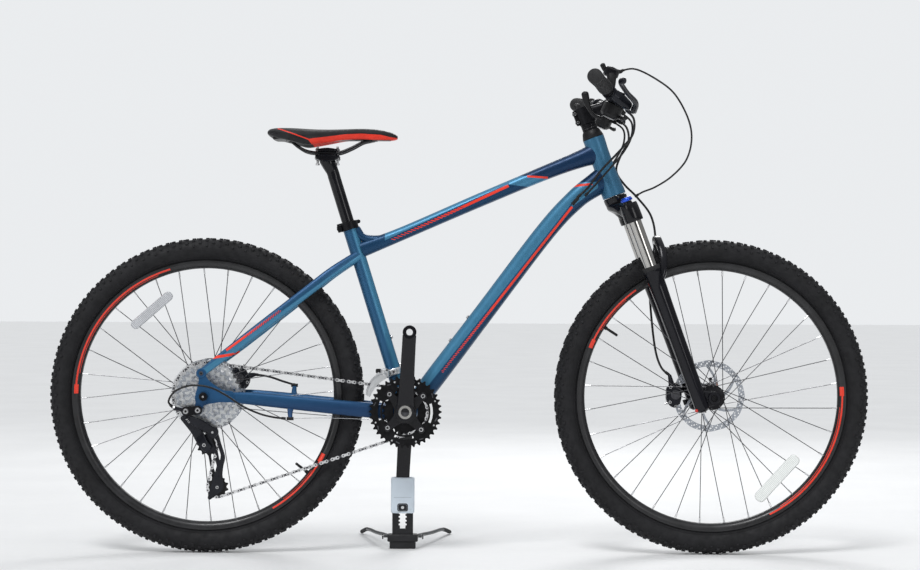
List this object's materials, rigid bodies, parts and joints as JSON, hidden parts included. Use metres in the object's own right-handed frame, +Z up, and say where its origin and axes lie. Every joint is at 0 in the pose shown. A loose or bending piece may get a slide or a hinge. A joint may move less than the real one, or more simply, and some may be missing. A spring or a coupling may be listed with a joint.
{
  "type": "bicycle on stand",
  "caption": "Hardtail mountain bicycle with suspension fork, disc brakes and derailleurs, held upright by a folding display stand under its left crank arm.",
  "frame": {"origin": "centre of the bounding box's bottom face, on the ground between the wheels", "axes": "+X ahead, +Y to the bicycle's left, +Z up"},
  "size_m": [1.807, 0.7555, 1.0675],
  "materials": {
    "blue_paint": "gloss",
    "black_anodised": "satin",
    "gloss_black": "gloss",
    "brushed_steel": "satin",
    "silver_aluminium": "satin",
    "tyre_rubber": "matte",
    "grip_rubber": "matte",
    "black_plastic": "matte",
    "saddle_cover": "matte",
    "blue_dial": "satin",
    "hose": "satin",
    "grey_rod": "satin"
  },
  "bodies": {
    "frame": {"frame": "blue_paint", "derailleur_hanger": "black_anodised", "bottom_bracket": "black_anodised", "seat_collar": "black_anodised", "rear_axle": "black_anodised", "front_derailleur_body": "silver_aluminium", "rear_caliper": "black_anodised", "chain": "brushed_steel", "rear_shift_loop": "hose", "rear_brake_hose_rear": "hose", "rear_brake_hose_front": "hose", "rear_shift_housing": "hose", "front_shift_housing": "hose"},
    "steering": {"fork_crown": "gloss_black", "stem": "black_anodised", "handlebar": "black_anodised", "grip_right": "grip_rubber", "grip_left": "grip_rubber", "controls_right": "black_anodised", "controls_left": "black_anodised", "lockout_cable": "hose", "front_brake_hose": "hose"},
    "lockout_dial": {"lockout_dial": "blue_dial"},
    "lockout_lever": {"lockout_lever": "black_anodised"},
    "brake_lever_right": {"brake_lever_right": "black_anodised"},
    "brake_lever_left": {"brake_lever_left": "black_anodised"},
    "shift_paddle_right": {"shift_paddle_right": "black_anodised"},
    "shift_paddle_left": {"shift_paddle_left": "black_anodised"},
    "release_paddle_right": {"release_paddle_right": "black_anodised"},
    "release_paddle_left": {"release_paddle_left": "black_anodised"},
    "fork_lowers": {"fork_lowers": "gloss_black", "front_caliper": "black_anodised"},
    "front_axle": {"front_axle": "black_anodised"},
    "front_wheel": {"front_hub": "black_anodised", "front_rim": "gloss_black", "front_tyre": "tyre_rubber", "front_rotor": "brushed_steel"},
    "rear_wheel": {"rear_hub": "black_anodised", "rear_rim": "gloss_black", "rear_tyre": "tyre_rubber", "rear_rotor": "brushed_steel"},
    "cassette": {"cassette": "brushed_steel"},
    "crank": {"crank_right": "gloss_black", "chainring_large": "gloss_black", "crank_left": "gloss_black"},
    "derailleur_body": {"derailleur_body": "black_anodised"},
    "derailleur_cage": {"derailleur_cage": "black_anodised"},
    "guide_pulley": {"guide_pulley": "black_plastic"},
    "tension_pulley": {"tension_pulley": "black_plastic"},
    "front_derailleur_cage": {"front_derailleur_cage": "silver_aluminium"},
    "seatpost": {"seatpost": "black_anodised", "saddle_rails": "black_anodised", "saddle": "saddle_cover"},
    "seat_collar_lever": {"seat_collar_lever": "black_anodised"},
    "rear_axle_lever": {"rear_axle_lever": "black_anodised"},
    "stand_socket": {"stand_socket": "black_plastic"},
    "stand_lock_button": {"stand_lock_button": "black_plastic"},
    "stand_mast": {"stand_mast": "black_plastic"},
    "stand_leg_front": {"stand_leg_front": "grey_rod"},
    "stand_leg_rear": {"stand_leg_rear": "grey_rod"}
  },
  "joints": [
    {"name": "steering_turn", "type": "hinge", "parent": "frame", "child": "steering", "pos_m": [0.34165, 0, 0.78971], "axis": [-0.3453, 0, 0.9385], "range_deg": [-50, 50], "deforming": ["rear_brake_hose_front", "rear_shift_housing", "front_shift_housing"]},
    {"name": "fork_travel", "type": "slide", "parent": "steering", "child": "fork_lowers", "axis": [-0.3453, 0, 0.9385], "range_m": [0, 0.1], "stiffness_N_per_m": 9000, "springref_m": -0.02, "deforming": ["front_brake_hose"]},
    {"name": "front_axle_turn", "type": "hinge", "parent": "fork_lowers", "child": "front_axle", "pos_m": [0.5565, 0, 0.347], "axis": [0, 1, 0], "range_deg": [0, 180]},
    {"name": "front_wheel_spin", "type": "hinge", "parent": "fork_lowers", "child": "front_wheel", "pos_m": [0.5565, 0, 0.347], "axis": [0, 1, 0], "continuous": true},
    {"name": "rear_wheel_spin", "type": "hinge", "parent": "frame", "child": "rear_wheel", "pos_m": [-0.5565, 0, 0.347], "axis": [0, 1, 0], "continuous": true},
    {"name": "crank_spin", "type": "hinge", "parent": "frame", "child": "crank", "pos_m": [-0.1175, 0, 0.314], "axis": [0, 1, 0], "continuous": true, "deforming": ["chain"]},
    {"name": "cassette_spin", "type": "hinge", "parent": "frame", "child": "cassette", "pos_m": [-0.5565, 0, 0.347], "axis": [0, 1, 0], "continuous": true, "deforming": ["chain"]},
    {"name": "derailleur_swing", "type": "hinge", "parent": "frame", "child": "derailleur_body", "pos_m": [-0.594, -0.0798, 0.3152], "axis": [0, 1, 0], "range_deg": [-8, 12], "stiffness_Nm_per_rad": 2, "deforming": ["chain", "rear_shift_loop"]},
    {"name": "derailleur_cage_swing", "type": "hinge", "parent": "derailleur_body", "child": "derailleur_cage", "pos_m": [-0.5395, -0.0322, 0.2673], "axis": [0, 1, 0], "range_deg": [-45, 5], "stiffness_Nm_per_rad": 0.8, "deforming": ["chain"]},
    {"name": "guide_pulley_spin", "type": "hinge", "parent": "derailleur_cage", "child": "guide_pulley", "pos_m": [-0.5527, -0.025, 0.2391], "axis": [0, 1, 0], "continuous": true, "deforming": ["chain"]},
    {"name": "tension_pulley_spin", "type": "hinge", "parent": "derailleur_cage", "child": "tension_pulley", "pos_m": [-0.5307, -0.025, 0.1455], "axis": [0, 1, 0], "continuous": true, "deforming": ["chain"]},
    {"name": "front_derailleur_shift", "type": "slide", "parent": "frame", "child": "front_derailleur_cage", "axis": [0, -1, 0], "range_m": [0, 0.0075], "stiffness_N_per_m": 400, "springref_m": -0.01, "deforming": ["chain"]},
    {"name": "lockout_lever_press", "type": "hinge", "parent": "steering", "child": "lockout_lever", "pos_m": [0.31297, -0.156, 1.04696], "axis": [0, 1, 0], "range_deg": [0, 35]},
    {"name": "lockout_dial_turn", "type": "hinge", "parent": "steering", "child": "lockout_dial", "pos_m": [0.36475, -0.065, 0.77616], "axis": [-0.3453, 0, 0.9385], "range_deg": [0, 90]},
    {"name": "brake_lever_left_pull", "type": "hinge", "parent": "steering", "child": "brake_lever_left", "pos_m": [0.371, 0.166, 0.966], "axis": [0.2034, -0.2986, 0.9324], "range_deg": [0, 8], "stiffness_Nm_per_rad": 0.6, "springref_deg": -14.32},
    {"name": "brake_lever_right_pull", "type": "hinge", "parent": "steering", "child": "brake_lever_right", "pos_m": [0.371, -0.166, 0.966], "axis": [-0.2034, -0.2986, -0.9324], "range_deg": [0, 8], "stiffness_Nm_per_rad": 0.6, "springref_deg": -14.32},
    {"name": "shift_paddle_left_push", "type": "hinge", "parent": "steering", "child": "shift_paddle_left", "pos_m": [0.32497, 0.15, 0.96796], "axis": [0, 0, 1], "range_deg": [0, 25], "stiffness_Nm_per_rad": 0.1, "springref_deg": -17.19},
    {"name": "shift_paddle_right_push", "type": "hinge", "parent": "steering", "child": "shift_paddle_right", "pos_m": [0.32497, -0.15, 0.96796], "axis": [0, 0, -1], "range_deg": [0, 25], "stiffness_Nm_per_rad": 0.1, "springref_deg": -17.19},
    {"name": "release_paddle_left_pull", "type": "hinge", "parent": "steering", "child": "release_paddle_left", "pos_m": [0.32497, 0.15, 0.96796], "axis": [0, 0, 1], "range_deg": [0, 12], "stiffness_Nm_per_rad": 0.1, "springref_deg": -17.19},
    {"name": "release_paddle_right_pull", "type": "hinge", "parent": "steering", "child": "release_paddle_right", "pos_m": [0.32497, -0.15, 0.96796], "axis": [0, 0, -1], "range_deg": [0, 12], "stiffness_Nm_per_rad": 0.1, "springref_deg": -17.19},
    {"name": "seatpost_height", "type": "slide", "parent": "frame", "child": "seatpost", "axis": [-0.2974, 0, 0.9548], "range_m": [-0.12, 0.09]},
    {"name": "seat_collar_lever_open", "type": "hinge", "parent": "frame", "child": "seat_collar_lever", "pos_m": [-0.26621, 0.0263, 0.72082], "axis": [-0.2974, 0, 0.9548], "range_deg": [0, 100]},
    {"name": "rear_axle_lever_open", "type": "hinge", "parent": "frame", "child": "rear_axle_lever", "pos_m": [-0.5565, 0.0918, 0.347], "axis": [-0.2261, 0, -0.9741], "range_deg": [0, 180]},
    {"name": "stand_release", "type": "slide", "parent": "crank", "child": "stand_socket", "axis": [-0.0523, 0, -0.9986], "range_m": [0, 0.045]},
    {"name": "stand_height", "type": "slide", "parent": "stand_socket", "child": "stand_mast", "axis": [0, 0, 1], "range_m": [-0.017, 0.017]},
    {"name": "stand_button_press", "type": "slide", "parent": "stand_socket", "child": "stand_lock_button", "axis": [0, 1, 0], "range_m": [0, 0.0025], "stiffness_N_per_m": 300, "springref_m": -0.005},
    {"name": "stand_leg_front_fold", "type": "hinge", "parent": "stand_mast", "child": "stand_leg_front", "pos_m": [-0.0867, 0.092, 0.0274], "axis": [1, 0, 0], "range_deg": [0, 90]},
    {"name": "stand_leg_rear_fold", "type": "hinge", "parent": "stand_mast", "child": "stand_leg_rear", "pos_m": [-0.1643, 0.092, 0.0274], "axis": [1, 0, 0], "range_deg": [0, 90]}
  ],
  "couplings": [
    {"joint": "cassette_spin", "follows": "crank_spin", "ratio": 0.66667},
    {"joint": "guide_pulley_spin", "follows": "crank_spin", "ratio": -2.1818},
    {"joint": "tension_pulley_spin", "follows": "crank_spin", "ratio": 2.1818},
    {"joint": "lockout_dial_turn", "follows": "lockout_lever_press", "ratio": 2.5714}
  ]
}
